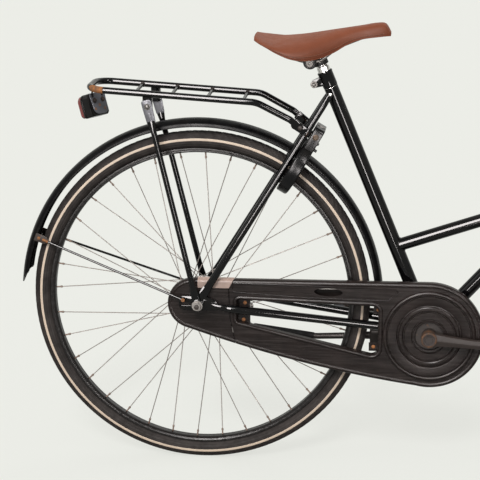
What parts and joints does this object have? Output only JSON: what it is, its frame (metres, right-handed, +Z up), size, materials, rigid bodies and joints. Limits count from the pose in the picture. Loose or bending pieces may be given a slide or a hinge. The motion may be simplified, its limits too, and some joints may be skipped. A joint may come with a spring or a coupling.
{
  "type": "step-through bicycle",
  "caption": "Step-through town bicycle with a full chain case, rear carrier, mudguards, padded saddle and ring lock.",
  "frame": {"origin": "on the floor, midway between the rear mudguard's tail and the front of the front tyre, in the bicycle's middle plane", "axes": "+X forward, +Y to the rider's left (the chain is on the -Y side), +Z up"},
  "size_m": [1.8369, 0.6034, 1.1096],
  "materials": {
    "bottom_bracket_shell": "gloss black paint",
    "seat_tube": "gloss black paint",
    "head_tube": "gloss black paint",
    "down_tube": "gloss black paint",
    "upper_tube": "gloss black paint",
    "right_chainstay": "gloss black paint",
    "left_chainstay": "gloss black paint",
    "right_seat_stay": "gloss black paint",
    "left_seat_stay": "gloss black paint",
    "right_bottom_bracket_cup": "dull, with rust",
    "left_bottom_bracket_cup": "dull, with rust",
    "seat_lug": "gloss black paint",
    "seat_clamp_bolt": "polished",
    "rear_mudguard": "gloss black paint",
    "rear_mudguard_stay": "dull, with rust",
    "rack": "gloss black paint",
    "right_rack_stay": "gloss black paint",
    "left_rack_stay": "gloss black paint",
    "right_rack_bracket": "gloss black paint",
    "left_rack_bracket": "gloss black paint",
    "tail_lamp_bracket": "dull, with rust",
    "tail_lamp_body": "black",
    "tail_lamp_lens": "red",
    "chain_case_outer": "satin dark brown-black",
    "chain_case_inner": "satin dark brown-black",
    "chain_case_rear_cover": "satin dark brown-black",
    "chain": "dull, with rust",
    "rear_axle": "polished",
    "coaster_brake_arm": "dull, with rust",
    "ring_lock_body": "black",
    "side_stand_bracket": "dark and rusty",
    "lower_headset_cup": "polished",
    "upper_headset_cup": "polished",
    "rear_tyre": "black with a pale side stripe",
    "rear_rim": "gloss black",
    "rear_hub_and_spokes": "dull, with rust",
    "rear_sprocket": "dull, with rust",
    "crank_axle": "dark and rusty",
    "right_crank": "dark and rusty",
    "left_crank": "dark and rusty",
    "chainring": "dull, with rust",
    "right_pedal": "matte black",
    "left_pedal": "matte black",
    "fork": "gloss black paint",
    "front_mudguard": "gloss black paint",
    "front_axle": "polished",
    "stem": "polished",
    "handlebar": "polished",
    "right_grip": "matte black",
    "left_grip": "matte black",
    "front_tyre": "black with a pale side stripe",
    "front_rim": "gloss black",
    "front_hub_and_spokes": "dull, with rust",
    "side_stand_leg": "dark and rusty",
    "ring_lock_shackle": "polished",
    "seat_post": "polished",
    "saddle_clamp": "black",
    "saddle_rails": "dull, with rust",
    "saddle_base": "black",
    "saddle_cover": "brown, stitched"
  },
  "bodies": {
    "frame": {"bottom_bracket_shell": "bottom_bracket_shell", "seat_tube": "seat_tube", "head_tube": "head_tube", "down_tube": "down_tube", "upper_tube": "upper_tube", "right_chainstay": "right_chainstay", "left_chainstay": "left_chainstay", "right_seat_stay": "right_seat_stay", "left_seat_stay": "left_seat_stay", "right_bottom_bracket_cup": "right_bottom_bracket_cup", "left_bottom_bracket_cup": "left_bottom_bracket_cup", "seat_lug": "seat_lug", "seat_clamp_bolt": "seat_clamp_bolt", "rear_mudguard": "rear_mudguard", "rear_mudguard_stay": "rear_mudguard_stay", "rack": "rack", "right_rack_stay": "right_rack_stay", "left_rack_stay": "left_rack_stay", "right_rack_bracket": "right_rack_bracket", "left_rack_bracket": "left_rack_bracket", "tail_lamp_bracket": "tail_lamp_bracket", "tail_lamp_body": "tail_lamp_body", "tail_lamp_lens": "tail_lamp_lens", "chain_case_outer": "chain_case_outer", "chain_case_inner": "chain_case_inner", "chain_case_rear_cover": "chain_case_rear_cover", "chain": "chain", "rear_axle": "rear_axle", "coaster_brake_arm": "coaster_brake_arm", "ring_lock_body": "ring_lock_body", "side_stand_bracket": "side_stand_bracket", "lower_headset_cup": "lower_headset_cup", "upper_headset_cup": "upper_headset_cup"},
    "rear_wheel": {"rear_tyre": "rear_tyre", "rear_rim": "rear_rim", "rear_hub_and_spokes": "rear_hub_and_spokes"},
    "rear_drive": {"rear_sprocket": "rear_sprocket"},
    "crankset": {"crank_axle": "crank_axle", "right_crank": "right_crank", "left_crank": "left_crank", "chainring": "chainring"},
    "right_pedal_body": {"right_pedal": "right_pedal"},
    "left_pedal_body": {"left_pedal": "left_pedal"},
    "fork_body": {"fork": "fork", "front_mudguard": "front_mudguard", "front_axle": "front_axle"},
    "bars": {"stem": "stem", "handlebar": "handlebar", "right_grip": "right_grip", "left_grip": "left_grip"},
    "front_wheel": {"front_tyre": "front_tyre", "front_rim": "front_rim", "front_hub_and_spokes": "front_hub_and_spokes"},
    "side_stand": {"side_stand_leg": "side_stand_leg"},
    "lock_shackle": {"ring_lock_shackle": "ring_lock_shackle"},
    "saddle": {"seat_post": "seat_post", "saddle_clamp": "saddle_clamp", "saddle_rails": "saddle_rails", "saddle_base": "saddle_base", "saddle_cover": "saddle_cover"}
  },
  "joints": [
    {"name": "rear_wheel_spin", "type": "hinge", "parent": "frame", "child": "rear_wheel", "pos_m": [-0.54425, 0, 0.348], "axis": [0, 1, 0], "continuous": true},
    {"name": "front_wheel_spin", "type": "hinge", "parent": "fork_body", "child": "front_wheel", "pos_m": [0.57075, 0, 0.348], "axis": [0, 1, 0], "continuous": true},
    {"name": "crank_spin", "type": "hinge", "parent": "frame", "child": "crankset", "pos_m": [-0.07476, 0, 0.293], "axis": [0, 1, 0], "continuous": true},
    {"name": "sprocket_spin", "type": "hinge", "parent": "frame", "child": "rear_drive", "pos_m": [-0.54425, 0, 0.348], "axis": [0, 1, 0], "continuous": true},
    {"name": "right_pedal_spin", "type": "hinge", "parent": "crankset", "child": "right_pedal_body", "pos_m": [0.09457, -0.145, 0.27789], "axis": [0, 1, 0], "continuous": true},
    {"name": "left_pedal_spin", "type": "hinge", "parent": "crankset", "child": "left_pedal_body", "pos_m": [-0.24409, 0.145, 0.30811], "axis": [0, 1, 0], "continuous": true},
    {"name": "steering", "type": "hinge", "parent": "frame", "child": "fork_body", "pos_m": [0.50816, 0, 0.32143], "axis": [-0.3907, 0, 0.9205], "range_deg": [-60, 60]},
    {"name": "stem_height", "type": "slide", "parent": "fork_body", "child": "bars", "axis": [-0.3907, 0, 0.9205], "range_m": [-0.03, 0.04]},
    {"name": "seat_height", "type": "slide", "parent": "frame", "child": "saddle", "axis": [-0.3859, 0, 0.9225], "range_m": [-0.01, 0.08]},
    {"name": "side_stand_fold", "type": "hinge", "parent": "frame", "child": "side_stand", "pos_m": [-0.18425, 0.0415, 0.2625], "axis": [0, 0.9781, 0.2079], "range_deg": [-100, 0]},
    {"name": "lock_shackle_turn", "type": "hinge", "parent": "frame", "child": "lock_shackle", "pos_m": [-0.34873, 0, 0.62374], "axis": [-0.8641, 0, 0.5033], "range_deg": [0, 58]}
  ],
  "couplings": [
    {"joint": "sprocket_spin", "follows": "crank_spin", "ratio": 2.5263}
  ]
}
